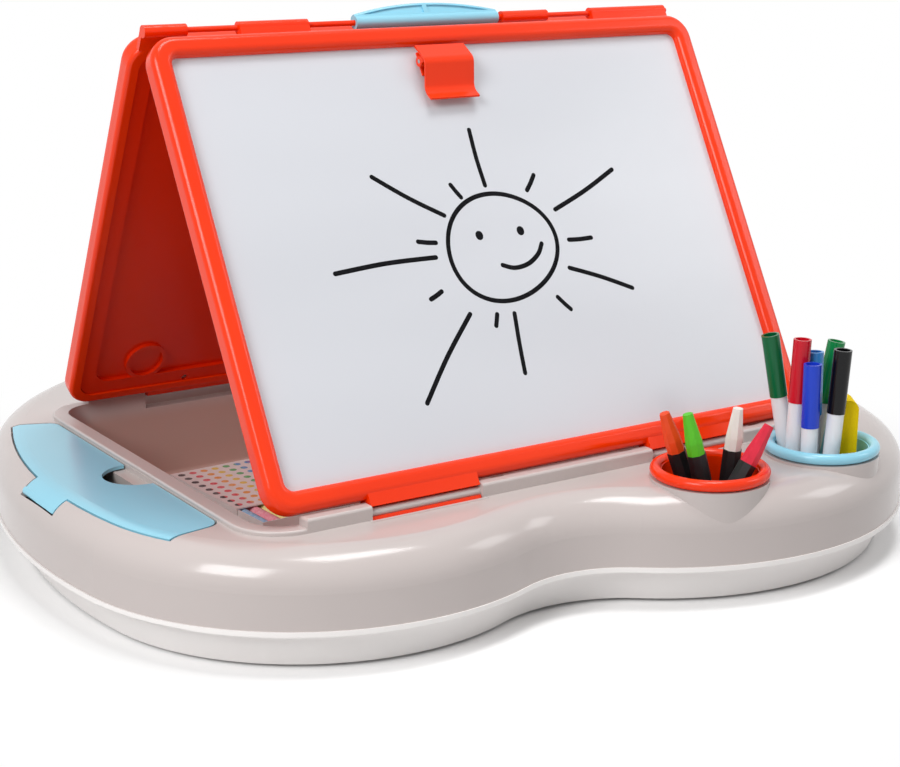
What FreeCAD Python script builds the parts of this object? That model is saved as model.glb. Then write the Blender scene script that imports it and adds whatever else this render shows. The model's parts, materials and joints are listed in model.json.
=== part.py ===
"""Tabletop two-sided easel: a whiteboard and a chalkboard, hinged at a ridge, over a storage base.

Millimetres, +Z up. The pieces are laid out about the middle of the boards, with the floor at z = 0, and are
moved at the end so that the origin is the middle of the footprint. A board is made flat: x along the ridge,
y up the slope from the ridge axis, z out of the writing face. It is then leaned about the ridge.
"""
import math
import os

import FreeCAD, Part
from FreeCAD import Vector

# Fits shared by all pieces
overrun = 40.0
tiny = 0.001
run_gap = 0.05
press_gap = 0.01
seat_gap = 0.3
side_gap = 0.5

# Boards and their frames
board_width = 365.0
board_height = 262.0
board_depth = 13.0
board_corner = 15.0
lean_deg = 60.8
bar_width = 11.5
bar_outer_round = 4.5
bar_inner_round = 4.0
bar_back_round = 2.5
opening_corner = 5.0
sheet_lap = 5.0
sheet_thick = 1.2
sheet_face = 7.5
backing_thick = 2.5
backing_flange = 9.0
backing_flange_rise = 2.6
panel_gap = 0.3
boss_outer = 13.5
boss_inner = 11.0
boss_rise = 2.4
boss_from_side = 49.0
boss_from_bottom = 27.0
board_screw_radius = 1.0
board_screw_head = 2.0
board_screw_head_thick = 1.2
board_screw_length = 8.0
board_screw_count = 4

# Ridge hinge
ridge_reach = 8.0
ridge_rod_radius = 1.6
knuckle_radius = 3.4
knuckle_web = 3.2
knuckle_root = 4.0
knuckle_gap = 3.5
back_knuckle_end_inset = 4.4
back_knuckle_end_length = 25.0
back_knuckle_mid_length = 33.0
front_knuckle_end_inset = 6.8
front_knuckle_end_length = 58.0
front_knuckle_mid_length = 43.0

# Hooks at the foot of each board, and the rods that they sit on
hook_share = 0.51
hook_length = 68.0
hook_drop = 7.2
hook_depth = 8.3
hook_back = 6.3
hook_front = 4.2
hook_jaw_front = 2.0
hook_jaw = 2.8
hook_round = 1.0
hook_root = 5.0
hinge_rod_radius = 2.5
hinge_rod_rise = 2.5
saddle_gap = 0.35

# Base
deck_height = 65.0
foot_height = 2.0
foot_radius = 9.0
foot_plug_radius = 5.0
pan_wall = 2.5
pan_floor_inset = 15.0
pan_rim_inset = 7.0
lip_underside = 22.0
lip_thick = 3.5
shell_inset = 0.8
shell_wall = 3.0
shoulder_round = 20.0
front_left_radius = 145.0
front_right_radius = 159.5
back_right_radius = 204.0
back_left_radius = 202.0
waist_radius = 68.0
right_bridge_radius = 400.0
back_bridge_radius = 560.0
left_bridge_radius = 400.0
front_left_from_side = 75.0
front_left_reach = 59.0
front_right_from_side = 75.0
front_right_reach = 93.5
back_right_from_side = 98.0
back_right_reach = 113.0
back_left_from_side = 141.0
back_left_reach = 122.0

# Storage tray and its rim
tray_side_gap = 3.5
tray_corner = 20.0
tray_wall = 2.5
tray_floor = 12.0
tray_bead_width = 9.0
tray_bead_rise = 2.5
tray_bead_round = 1.2
rim_wall = 9.0
rim_rise = 7.5
rim_round = 1.6
rim_end_inset = 20.0
rim_notch_depth = 6.5
rim_slot_length = 9.0
rim_slot_width = 3.0
rim_slot_depth = 1.6
rim_slot_from_notch = 14.0
gutter_wall = 2.0
rod_seat = 8.0

# Left bin with its lid
lid_strip = 10.6
lid_edge_inset = 14.0
lid_thick = 2.0
lid_gap = 1.2
lid_front_from_tray = 30.0
lid_front_slant = 11.0
lid_back_from_tray = 22.0
lid_back_slant = 26.0
lid_corner = 8.0
lid_notch_radius = 20.0
lid_notch_from_tab = 6.0
lid_tab_width = 46.0
lid_tab_inset = 5.0
lid_tab_from_bridge = 10.0
lid_axis_inset = 8.4
lid_axis_drop = 7.9
lid_barrel_radius = 2.6
lid_barrel_room = 4.0
lid_pin_radius = 1.2
lid_lug_length = 6.0
lid_lug_size = 8.0
lid_latch_width = 9.0
lid_latch_depth = 2.0
lid_latch_height = 5.0
lid_latch_share = 0.5
bin_inset = 5.0
bin_wall = 2.0
bin_floor = 30.0
bin_flange = 3.0
bin_flange_thick = 2.0

# Cups
cup_ring_radius = 30.4
cup_ring_tube = 3.2
cup_wall = 2.0
cup_mouth_radius = 28.8
cup_foot_radius = 26.6
cup_floor = 27.5
cup_hole_gap = 1.0
collar_wall = 3.6
collar_rise = 1.5
collar_depth = 22.0
crayon_cup_share = 0.354
crayon_cup_from_tray = 50.3
pen_cup_share = 0.818
pen_cup_from_tray = 48.6

# Fasteners of the base
base_screw_radius = 1.5
base_screw_head = 3.0
base_screw_head_thick = 2.0
base_screw_length = 18.0
base_post_radius = 5.5
base_post_bore = 3.6
base_screw_seat = 18.0
base_boss_radius = 4.5

# Carry handle
handle_length = 97.0
handle_reach = 10.6
handle_thick = 5.0
handle_rest_deg = 55.0
handle_barrel = 3.6
handle_rim = 2.0
handle_recess = 1.0
handle_rib = 3.0
handle_edge_round = 1.6
handle_end_reach = 4.6

# Paper clip
clip_width = 33.0
clip_from_middle = -5.0
clip_thick = 2.4
clip_root_from_edge = 13.5
clip_root_rise = 4.0
clip_crest_from_edge = 24.5
clip_crest_rise = 10.0
clip_pinch_from_edge = 40.0
clip_pinch_rise = 1.8
clip_lip_from_edge = 46.5
clip_lip_rise = 5.6
clip_crest_round = 4.0
clip_pinch_round = 7.0
clip_pin_from_edge = 22.5
clip_pin_rise = 4.6
clip_pin_radius = 1.2
clip_cheek = 2.0
clip_cheek_radius = 3.0
clip_base_thick = 1.2
clip_base_length = 14.0
clip_ear = 2.0
clip_spring_thick = 0.5
clip_spring_width = 10.0

# Pens, crayons and eraser
marker_radius = 4.8
marker_cap_radius = 5.2
marker_cap_length = 37.0
marker_cap_recess_radius = 3.9
marker_cap_recess = 3.0
marker_lengths = {"green": 105.0, "red": 104.0, "blue": 92.0, "black": 100.0, "teal": 95.0, "lime": 98.0}
crayon_sides = 8
crayon_radius = 5.0
crayon_sleeve_radius = 5.5
crayon_sleeve_length = 50.0
crayon_length = 74.0
crayon_tip_length = 17.0
crayon_tip_radius = 2.9
eraser_width = 17.0
eraser_thick = 12.0
eraser_pad = 2.6
eraser_length = 68.0
eraser_round = 5.5
eraser_turn_deg = -33.8

# Box of chalks in the tray
chalk_box_width = 66.0
chalk_box_length = 84.0
chalk_box_height = 11.0
chalk_card = 0.8
chalk_pull = 29.0
chalk_radius = 3.6
chalk_count = 8
chalk_turn_deg = 3.0
chalk_box_shares = (-0.5, 0.46)

# Places of the pens and crayons as shares of the cup's foot radius: x and y at the foot, then level with the rim
marker_shares = {
    "green": (-0.23, 0.51, -0.481, 0.647),
    "red": (-0.68, 0.23, -0.641, 0.203),
    "blue": (-0.62, -0.29, -0.629, -0.272),
    "black": (-0.26, -0.46, -0.191, -0.505),
    "teal": (-0.20, 0.04, -0.179, 0.113),
    "lime": (0.14, 0.68, 0.362, 0.559),
}
crayon_shares = {
    "orange": (0.18, 0.44, -0.349, 0.574),
    "green": (0.10, -0.11, -0.239, 0.065),
    "white": (0.46, 0.08, 0.520, -0.046),
    "pink": (-0.45, -0.40, 0.436, -0.598),
}
eraser_shares = (0.47, -0.20)
base_screw_shares = (
    (-0.70, -1.22), (0.06, -1.20), (1.21, -0.43), (1.21, 0.60), (0.48, 1.42), (-0.60, 1.42),
)
tray_rest_shares = (-0.5, 0.5)
foot_shares = (
    (-1.18, 0.0), (-0.60, -1.16), (0.56, -1.40), (1.32, 0.10), (0.48, 1.60), (-0.52, 1.58),
)

# Values that follow from the sizes above
lean = math.radians(lean_deg)
board_top = -ridge_reach
board_bottom = -ridge_reach - board_height
hook_reach = ridge_reach + board_height + hook_drop
hinge_y = hook_reach * math.cos(lean) + hook_depth * math.sin(lean)
hinge_z = deck_height + hinge_rod_rise
ridge_z = hinge_z + hook_reach * math.sin(lean) - hook_depth * math.cos(lean)
hook_x = hook_share * board_width / 2
tray_half_x = board_width / 2 + tray_side_gap
tray_half_y = hinge_y - rim_wall / 2
shell_foot = lip_underside + lip_thick
lobes = (
    (-tray_half_x + front_left_from_side, -tray_half_y - front_left_reach + front_left_radius,
     front_left_radius),
    (tray_half_x - front_right_from_side, -tray_half_y - front_right_reach + front_right_radius,
     front_right_radius),
    (tray_half_x - back_right_from_side, tray_half_y + back_right_reach - back_right_radius, back_right_radius),
    (-tray_half_x + back_left_from_side, tray_half_y + back_left_reach - back_left_radius, back_left_radius),
)
bridges = (
    (waist_radius, True), (right_bridge_radius, False), (back_bridge_radius, False),
    (left_bridge_radius, False),
)
cup_hole_radius = cup_mouth_radius + cup_hole_gap
collar_top = deck_height + collar_rise
cup_rim_z = collar_top + seat_gap + cup_ring_tube
crayon_cup_place = Vector(crayon_cup_share * tray_half_x, -tray_half_y - crayon_cup_from_tray, 0)
pen_cup_place = Vector(pen_cup_share * tray_half_x, -tray_half_y - pen_cup_from_tray, 0)

origin = Vector(0, 0, 0)
along_x = Vector(1, 0, 0)
along_y = Vector(0, 1, 0)
along_z = Vector(0, 0, 1)


def box(x0, x1, y0, y1, z0, z1):
    return Part.makeBox(x1 - x0, y1 - y0, z1 - z0, Vector(x0, y0, z0))


def bar_x(x0, x1, y, z, radius):
    return Part.makeCylinder(radius, x1 - x0, Vector(x0, y, z), along_x)


def bar_y(x, y0, y1, z, radius):
    return Part.makeCylinder(radius, y1 - y0, Vector(x, y0, z), along_y)


def bar_z(x, y, z0, z1, radius):
    return Part.makeCylinder(radius, z1 - z0, Vector(x, y, z0), along_z)


def joined(shapes):
    """One solid from overlapping solids."""
    return shapes[0].multiFuse(shapes[1:]).removeSplitter()


def group(shapes):
    """Separate solids kept in one node."""
    return Part.makeCompound(shapes)


def flat_edges(shape, z):
    """The edges of a shape that lie in the level z."""
    return [e for e in shape.Edges if abs(e.BoundBox.ZMin - z) < tiny and abs(e.BoundBox.ZMax - z) < tiny]


def rounded_slab(x0, x1, y0, y1, corner, z0, z1):
    """A plate with four round corners."""
    slab = box(x0, x1, y0, y1, z0, z1)
    upright = [e for e in slab.Edges if e.BoundBox.ZLength > (z1 - z0) / 2]
    return slab.makeFillet(corner, upright)


def arc(centre, radius, start, end, z):
    points = [Vector(centre[0] + radius * math.cos(a), centre[1] + radius * math.sin(a), z)
              for a in (start, (start + end) / 2, end)]
    return Part.Arc(*points).toShape()


def bridge_centre(lobe_a, lobe_b, radius, concave):
    """Centre of the arc that runs tangent from one lobe of the outline to the next."""
    sign = 1 if concave else -1
    reach_a = radius + sign * lobe_a[2]
    reach_b = radius + sign * lobe_b[2]
    span = math.hypot(lobe_b[0] - lobe_a[0], lobe_b[1] - lobe_a[1])
    ux, uy = (lobe_b[0] - lobe_a[0]) / span, (lobe_b[1] - lobe_a[1]) / span
    along = (reach_a ** 2 - reach_b ** 2 + span ** 2) / (2 * span)
    across = -sign * math.sqrt(reach_a ** 2 - along ** 2)
    return lobe_a[0] + along * ux - across * uy, lobe_a[1] + along * uy + across * ux


def outline(inset, z):
    """The kidney outline of the base: four lobes joined by tangent arcs, drawn in by the inset."""
    count = len(lobes)
    centres = [bridge_centre(lobes[i], lobes[(i + 1) % count], *bridges[i]) for i in range(count)]

    def heading(lobe, bridge):
        sign = 1 if bridges[bridge][1] else -1
        return math.atan2(sign * (centres[bridge][1] - lobe[1]), sign * (centres[bridge][0] - lobe[0]))

    edges = []
    for i, lobe in enumerate(lobes):
        after = lobes[(i + 1) % count]
        start, end = heading(lobe, i - 1), heading(lobe, i)
        edges.append(arc(lobe, lobe[2] - inset, start, end + (2 * math.pi if end < start else 0), z))
        radius, concave = bridges[i]
        start = math.atan2(lobe[1] - centres[i][1], lobe[0] - centres[i][0])
        end = math.atan2(after[1] - centres[i][1], after[0] - centres[i][0])
        if concave and end > start:
            end -= 2 * math.pi
        if not concave and end < start:
            end += 2 * math.pi
        edges.append(arc(centres[i], radius + (inset if concave else -inset), start, end, z))
    return Part.Wire(edges)


footprint = outline(0, 0).optimalBoundingBox()
left_bridge_y = bridge_centre(lobes[3], lobes[0], *bridges[3])[1]
lid_axis_x = footprint.XMin + lid_axis_inset
lid_axis_z = deck_height - lid_axis_drop
lid_inner_x = -tray_half_x - lid_strip
lid_tab_y = left_bridge_y + lid_tab_from_bridge


def base_prism(inset, z0, z1, round_over):
    """The base outline as a solid, with its top edge rounded over."""
    solid = Part.Face(outline(inset, z0)).extrude(Vector(0, 0, z1 - z0))
    return solid.makeFillet(round_over, flat_edges(solid, z1)) if round_over else solid


def tray_slab(grow, z0, z1):
    """The tray's opening, made larger all round, as a solid."""
    return rounded_slab(-tray_half_x - grow, tray_half_x + grow, -tray_half_y - grow, tray_half_y + grow,
                        tray_corner + grow, z0, z1)


def hook_span(centre, grow):
    return centre - hook_length / 2 - grow, centre + hook_length / 2 + grow


def hook_notches(z0, z1, grow):
    """Room in the rim walls and the deck for the hooks of both boards, made wider by a wall or a gap."""
    notches = []
    for centre in (-hook_x, hook_x):
        x0, x1 = hook_span(centre, side_gap + grow)
        for side in (-1, 1):
            outside = tray_half_y + rim_wall + side_gap + grow
            y0, y1 = sorted((side * (tray_half_y - tray_wall), side * outside))
            notches.append(box(x0, x1, y0, y1, z0, z1))
    return notches


def lid_area(grow):
    """Plan of the lid as a solid through the deck: a straight inner edge, slanted ends, a round outer edge."""
    inner = lid_inner_x + grow
    outer = footprint.XMin
    front = -tray_half_y + lid_front_from_tray - grow
    back = tray_half_y - lid_back_from_tray + grow
    points = [Vector(inner, front, 0), Vector(inner, back, 0),
              Vector(outer, back + lid_back_slant * (inner - outer) / (lid_inner_x - outer), 0),
              Vector(outer, front - lid_front_slant * (inner - outer) / (lid_inner_x - outer), 0)]
    plan = Part.Face(Part.makePolygon(points + points[:1])).extrude(Vector(0, 0, deck_height + overrun))
    plan = plan.common(base_prism(lid_edge_inset - grow, 0, deck_height + overrun, 0))
    return plan.makeFillet(lid_corner + grow, [e for e in plan.Edges if e.BoundBox.XMin > inner - tiny
                                               and e.BoundBox.ZLength > deck_height])


def lid_tab_area(grow):
    half = lid_tab_width / 2 + grow
    return box(footprint.XMin + lid_tab_inset - grow, footprint.XMin + lid_edge_inset + lid_tab_inset,
               lid_tab_y - half, lid_tab_y + half, 0, deck_height + overrun)


def screw_places():
    return [(x * tray_half_x, y * tray_half_y) for x, y in base_screw_shares]


def base_top_shell():
    outer = base_prism(shell_inset, shell_foot, deck_height, shoulder_round)
    cavity = base_prism(shell_inset + shell_wall, shell_foot - overrun, deck_height - shell_wall,
                        shoulder_round - shell_wall)
    skin = outer.cut(cavity)
    collars = [bar_z(p.x, p.y, collar_top - collar_depth, collar_top, cup_hole_radius + collar_wall)
               for p in (crayon_cup_place, pen_cup_place)]
    bosses = [bar_z(x, y, shell_foot, deck_height - shell_wall / 2, base_boss_radius)
              for x, y in screw_places()]
    half = lid_tab_width / 2 + lid_gap
    lugs = []
    for side in (-1, 1):
        y0, y1 = sorted((lid_tab_y + side * half, lid_tab_y + side * (half + lid_lug_length)))
        lugs.append(box(lid_axis_x - lid_lug_size, lid_axis_x + lid_lug_size / 2, y0, y1,
                        lid_axis_z - lid_lug_size / 2, lid_axis_z + lid_lug_size).common(outer))
    shell = joined([skin] + collars + bosses + lugs)
    pin_reach = half + lid_lug_length
    cuts = [tray_slab(tray_wall + panel_gap, shell_foot, deck_height + overrun)]
    cuts += [bar_z(p.x, p.y, 0, deck_height + overrun, cup_hole_radius)
             for p in (crayon_cup_place, pen_cup_place)]
    cuts += [bar_z(x, y, 0, shell_foot + base_screw_length, base_screw_radius + press_gap)
             for x, y in screw_places()]
    cuts += hook_notches(deck_height - rim_notch_depth - overrun, deck_height + overrun,
                         gutter_wall + panel_gap)
    cuts += [lid_area(lid_gap).common(box(-overrun + footprint.XMin, lid_inner_x + overrun, footprint.YMin,
                                          footprint.YMax, deck_height - shoulder_round, deck_height + overrun)),
             lid_tab_area(lid_gap).common(box(footprint.XMin, lid_inner_x, footprint.YMin, footprint.YMax,
                                              lid_axis_z, deck_height + overrun)),
             bar_y(lid_axis_x, lid_tab_y - half, lid_tab_y + half, lid_axis_z, lid_barrel_room),
             bar_y(lid_axis_x, lid_tab_y - pin_reach, lid_tab_y + pin_reach, lid_axis_z,
                   lid_pin_radius + press_gap)]
    return shell.cut(cuts)


def bottom_pan():
    floor_z = foot_height
    outer = Part.makeLoft([outline(pan_floor_inset, floor_z), outline(pan_rim_inset, lip_underside)],
                          True, True)
    inner = Part.makeLoft([outline(pan_floor_inset + pan_wall, floor_z + pan_wall),
                           outline(pan_rim_inset + pan_wall, lip_underside + tiny)], True, True)
    rim = base_prism(0, lip_underside, shell_foot, 0)
    rim = rim.makeFillet(lip_thick / 3, flat_edges(rim, lip_underside))
    rim = rim.cut(base_prism(pan_rim_inset + pan_wall, 0, shell_foot + overrun, 0))
    posts = [bar_z(x, y, floor_z, shell_foot, base_post_radius) for x, y in screw_places()]
    rests = [bar_z(x * tray_half_x, y * tray_half_y, floor_z, tray_floor - tray_wall, base_post_radius)
             for x in tray_rest_shares for y in tray_rest_shares]
    pan = joined([outer.cut(inner), rim] + posts + rests)
    cuts = [bar_z(x, y, 0, base_screw_seat, base_post_bore) for x, y in screw_places()]
    cuts += [bar_z(x, y, 0, shell_foot + overrun, base_screw_radius + run_gap) for x, y in screw_places()]
    cuts += [bar_z(x, y, 0, floor_z + pan_wall, foot_plug_radius) for x, y in foot_places()]
    return pan.cut(cuts)


def foot_places():
    return [(x * tray_half_x, y * tray_half_y) for x, y in foot_shares]


def rubber_feet():
    feet = []
    for x, y in foot_places():
        pad = bar_z(x, y, 0, foot_height, foot_radius)
        pad = pad.makeFillet(foot_height / 3, flat_edges(pad, 0))
        plug = bar_z(x, y, foot_height / 2, foot_height + pan_wall, foot_plug_radius)
        feet.append(pad.fuse(plug).removeSplitter())
    return group(feet)


def base_screws():
    screws = []
    for x, y in screw_places():
        head = bar_z(x, y, base_screw_seat - base_screw_head_thick, base_screw_seat, base_screw_head)
        slot = base_screw_radius / 3
        head = head.cut(box(x - overrun, x + overrun, y - slot, y + slot, 0,
                            base_screw_seat - base_screw_head_thick / 2))
        screws.append(head.fuse(bar_z(x, y, base_screw_seat - base_screw_head_thick / 2,
                                      base_screw_seat + base_screw_length, base_screw_radius)).removeSplitter())
    return group(screws)


def storage_tray():
    """The tub under the boards, its rim bead, and the two rim walls with notches for the hooks."""
    rim_top = deck_height + rim_rise
    tub = tray_slab(tray_wall, tray_floor - tray_wall, deck_height)
    bead = tray_slab(tray_bead_width, deck_height, deck_height + tray_bead_rise)
    bead = bead.makeFillet(tray_bead_round, flat_edges(bead, deck_height + tray_bead_rise))
    walls = []
    for side in (-1, 1):
        y0, y1 = sorted((side * tray_half_y, side * (tray_half_y + rim_wall)))
        wall = box(-tray_half_x + rim_end_inset, tray_half_x - rim_end_inset, y0, y1, deck_height, rim_top)
        walls.append(wall.makeFillet(rim_round, flat_edges(wall, rim_top)))
    gutters = hook_notches(deck_height - rim_notch_depth - gutter_wall, deck_height, gutter_wall)
    tray = joined([tub, bead] + walls + gutters)
    inside = tray_slab(0, tray_floor, rim_top + overrun)
    floor_edges = flat_edges(inside, tray_floor)
    tray = tray.cut(inside.makeFillet(tray_wall, floor_edges))
    rods = [hinge_rod(centre, side, run_gap) for centre in (-hook_x, hook_x) for side in (-1, 1)]
    notches = hook_notches(deck_height - rim_notch_depth, rim_top + overrun, tiny)
    return tray.cut(notches + rods + rim_slots(rim_top))


def rim_slots(rim_top):
    """Short slots in the rim walls' inner top edges, on both sides of each notch."""
    slots = []
    for centre in (-hook_x, hook_x):
        for x in hook_span(centre, side_gap + rim_slot_from_notch):
            for side in (-1, 1):
                y0, y1 = sorted((side * (tray_half_y - tray_wall), side * (tray_half_y + rim_slot_width)))
                slots.append(box(x - rim_slot_length / 2, x + rim_slot_length / 2, y0, y1,
                                 rim_top - rim_slot_depth, rim_top + overrun))
    return slots


def hinge_rod(centre, side, grow):
    x0, x1 = hook_span(centre, side_gap + rod_seat + grow)
    return bar_x(x0, x1, side * hinge_y, hinge_z, hinge_rod_radius + grow)


def hinge_rods(side):
    return group([hinge_rod(centre, side, 0) for centre in (-hook_x, hook_x)])


def side_bin():
    """The bin under the lid, held to the underside of the deck by its flange."""
    top = deck_height - shell_wall
    cavity = base_prism(shell_inset + shell_wall, 0, top, shoulder_round - shell_wall)
    flange = lid_area(bin_flange + lid_gap).common(
        box(footprint.XMin, 0, footprint.YMin, footprint.YMax, top - bin_flange_thick, top)).common(cavity)
    room = box(footprint.XMin, 0, footprint.YMin, footprint.YMax, bin_floor, top + seat_gap)
    body = lid_area(-bin_inset).common(room)
    hollow = lid_area(-bin_inset - bin_wall).common(
        box(footprint.XMin, 0, footprint.YMin, footprint.YMax, bin_floor + bin_wall, deck_height))
    swing = bar_y(lid_axis_x, footprint.YMin, footprint.YMax, lid_axis_z, lid_lug_size + side_gap)
    return flange.cut(swing).fuse(body).removeSplitter().cut(hollow)


def storage_lid():
    """A piece of the deck's own skin, with a finger notch, a tab over the shoulder and its hinge barrel."""
    skin = base_prism(shell_inset, shell_foot, deck_height, shoulder_round).cut(
        base_prism(shell_inset + lid_thick, 0, deck_height - lid_thick, shoulder_round - lid_thick))
    above = box(footprint.XMin, 0, footprint.YMin, footprint.YMax, lid_axis_z, deck_height + overrun)
    half = lid_tab_width / 2
    plate = skin.common(lid_area(0)).common(above)
    tab = skin.common(lid_tab_area(0)).common(above)
    barrel = bar_y(lid_axis_x, lid_tab_y - half, lid_tab_y + half, lid_axis_z, lid_barrel_radius)
    notch_y = lid_tab_y - lid_notch_from_tab
    latch_x = lid_inner_x - bin_inset - bin_wall - side_gap
    latches = []
    for side in (-1, 1):
        y = notch_y + side * lid_latch_share * tray_half_y
        latches.append(box(latch_x - lid_latch_depth, latch_x, y - lid_latch_width / 2, y + lid_latch_width / 2,
                           deck_height - lid_thick - lid_latch_height, deck_height - lid_thick / 2))
    lid = joined([plate, tab, barrel] + latches)
    notch = bar_z(lid_inner_x, notch_y, 0, deck_height + overrun, lid_notch_radius)
    pin = bar_y(lid_axis_x, lid_tab_y - overrun, lid_tab_y + overrun, lid_axis_z, lid_pin_radius + run_gap)
    return lid.cut([notch, pin])


def lid_hinge_pin():
    reach = lid_tab_width / 2 + lid_gap + lid_lug_length
    return bar_y(lid_axis_x, lid_tab_y - reach, lid_tab_y + reach, lid_axis_z, lid_pin_radius)


def leaned(shape, side):
    """A board piece stood at its slope: side -1 is the front board, side 1 the back board."""
    shape = shape.copy()
    shape.rotate(origin, along_x, lean_deg)
    if side > 0:
        shape.rotate(origin, along_z, 180)
    shape.translate(Vector(0, 0, ridge_z))
    return shape


def knuckle(x0, x1):
    """A hinge knuckle on the ridge axis, with the web that joins it to the top bar."""
    web = box(x0, x1, board_top - knuckle_root, 0, run_gap, knuckle_web)
    return bar_x(x0, x1, 0, 0, knuckle_radius).fuse(web)


def hook(centre):
    """A tab below the bottom bar and a jaw under it, with a groove between them that sits on the hinge rod."""
    x0, x1 = hook_span(centre, 0)
    y = -hook_reach
    grip = hinge_rod_radius + run_gap
    tab = box(x0, x1, y + grip / 2, board_bottom + hook_root, hook_depth - hook_back, hook_depth + hook_front)
    jaw = box(x0, x1, y - grip - hook_jaw, y + grip, hook_depth - hook_back, hook_depth + hook_jaw_front)
    front = [e for e in jaw.Edges if e.BoundBox.XLength > hook_length / 2
             and e.BoundBox.ZMin > hook_depth and e.BoundBox.YMax < y]
    block = tab.fuse(jaw.makeFillet(hook_round, front))
    return block, [bar_x(x0, x1, y, hook_depth, grip),
                   box(x0, x1, y - grip, y + grip, hook_depth, hook_depth + overrun)]


def board_screw_places():
    """Screw places along the top and the bottom of the backing, in the lap of the sheet."""
    half_x = board_width / 2 - bar_width + sheet_lap / 2
    low = board_bottom + bar_width - sheet_lap / 2
    high = board_top - bar_width + sheet_lap / 2
    places = []
    for i in range(board_screw_count):
        x = half_x * (2 * (i + 1) / (board_screw_count + 1) - 1)
        places += [(x, low), (x, high)]
    return places


def frame_ring():
    half = board_width / 2
    ring = rounded_slab(-half, half, board_bottom, board_top, board_corner, 0, board_depth)
    ring = ring.makeFillet(bar_back_round, flat_edges(ring, 0))
    ring = ring.makeFillet(bar_outer_round, flat_edges(ring, board_depth))
    opening = panel_slab(0, opening_corner, -overrun, board_depth + overrun)
    ring = ring.cut(opening)
    inner_front = [e for e in flat_edges(ring, board_depth)
                   if e.BoundBox.XMax < half - bar_width + tiny and e.BoundBox.XMin > -half + bar_width - tiny
                   and e.BoundBox.YMax < board_top - bar_width + tiny
                   and e.BoundBox.YMin > board_bottom + bar_width - tiny]
    ring = ring.makeFillet(bar_inner_round, inner_front)
    return ring.cut(panel_slab(sheet_lap, opening_corner + sheet_lap, -overrun, sheet_face))


def panel_slab(grow, corner, z0, z1):
    """The frame's opening, made larger all round, as a solid."""
    half = board_width / 2 - bar_width + grow
    return rounded_slab(-half, half, board_bottom + bar_width - grow, board_top - bar_width + grow, corner,
                        z0, z1)


def board_frame(side):
    """One board's frame with its knuckles and hooks, stood at its slope."""
    back_end = board_width / 2 - back_knuckle_end_inset
    if side < 0:
        front_end = board_width / 2 - front_knuckle_end_inset
        middle = -(handle_length / 2 + back_end - back_knuckle_end_length) / 2
        spans = [(middle - front_knuckle_mid_length / 2, middle + front_knuckle_mid_length / 2),
                 (front_end - front_knuckle_end_length, front_end)]
    else:
        near = handle_length / 2 + knuckle_gap
        spans = [(-near - back_knuckle_mid_length, -near), (back_end - back_knuckle_end_length, back_end)]
    hooks = [hook(centre) for centre in (-hook_x, hook_x)]
    frame = joined([frame_ring()] + [knuckle(x0, x1) for x0, x1 in spans] + [block for block, cuts in hooks])
    bore = ridge_rod_radius + (run_gap if side < 0 else press_gap)
    cuts = [bar_x(-board_width, board_width, 0, 0, bore)] + [cut for block, grooves in hooks for cut in grooves]
    cuts += [bar_z(x, y, sheet_face - tiny, sheet_face - sheet_thick - backing_thick + board_screw_length,
                   board_screw_radius + press_gap) for x, y in board_screw_places()]
    frame = leaned(frame.cut(cuts), side)
    return open_saddles(frame) if side > 0 else frame


def open_saddles(frame):
    """The rear hooks only rest on their rods: they are cut off below the rod and eased around it."""
    cuts = []
    for centre in (-hook_x, hook_x):
        x0, x1 = hook_span(centre, side_gap / 2)
        cuts.append(box(x0, x1, hinge_y - overrun, hinge_y + overrun, hinge_z - overrun, hinge_z))
        cuts.append(bar_x(x0, x1, hinge_y, hinge_z, hinge_rod_radius + saddle_gap))
        slot = box(x0, x1, -hinge_rod_radius - saddle_gap, hinge_rod_radius + saddle_gap, 0, overrun)
        slot.rotate(origin, along_x, -lean_deg)
        slot.translate(Vector(0, hinge_y, hinge_z))
        cuts.append(slot)
    return frame.cut(cuts)


def board_sheet(side):
    sheet = panel_slab(sheet_lap - panel_gap, opening_corner + sheet_lap, sheet_face - sheet_thick, sheet_face)
    holes = [bar_z(x, y, 0, board_depth, board_screw_radius + run_gap) for x, y in board_screw_places()]
    return leaned(sheet.cut(holes), side)


def board_backing(side):
    """The moulded back of a board: a thin plate with a stiffening flange and a ring boss."""
    top = sheet_face - sheet_thick
    grow = sheet_lap - panel_gap
    corner = opening_corner + sheet_lap
    plate = panel_slab(grow, corner, top - backing_thick, top)
    flange = panel_slab(grow, corner, top - backing_thick - backing_flange_rise, top - backing_thick)
    flange = flange.cut(panel_slab(grow - backing_flange, corner, 0, board_depth))
    x = board_width / 2 - boss_from_side
    y = board_bottom + boss_from_bottom
    boss = bar_z(x, y, top - backing_thick - boss_rise, top - backing_thick / 2, boss_outer)
    boss = boss.cut(bar_z(x, y, 0, top - backing_thick, boss_inner))
    back = joined([plate, flange, boss])
    holes = [bar_z(x, y, 0, board_depth, board_screw_radius + run_gap) for x, y in board_screw_places()]
    wells = [bar_z(x, y, 0, top - backing_thick, board_screw_head + run_gap) for x, y in board_screw_places()]
    return leaned(back.cut(holes + wells), side)


def board_screws(side):
    seat = sheet_face - sheet_thick - backing_thick
    screws = []
    for x, y in board_screw_places():
        head = bar_z(x, y, seat - board_screw_head_thick, seat, board_screw_head)
        slot = board_screw_radius / 3
        head = head.cut(box(x - overrun, x + overrun, y - slot, y + slot, 0, seat - board_screw_head_thick / 2))
        shank = bar_z(x, y, seat - board_screw_head_thick / 2, seat + board_screw_length - sheet_thick,
                      board_screw_radius)
        screws.append(head.fuse(shank).removeSplitter())
    return leaned(group(screws), side)


def ridge_rod():
    end = board_width / 2 - back_knuckle_end_inset
    return leaned(bar_x(-end, end, 0, 0, ridge_rod_radius), -1)


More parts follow.
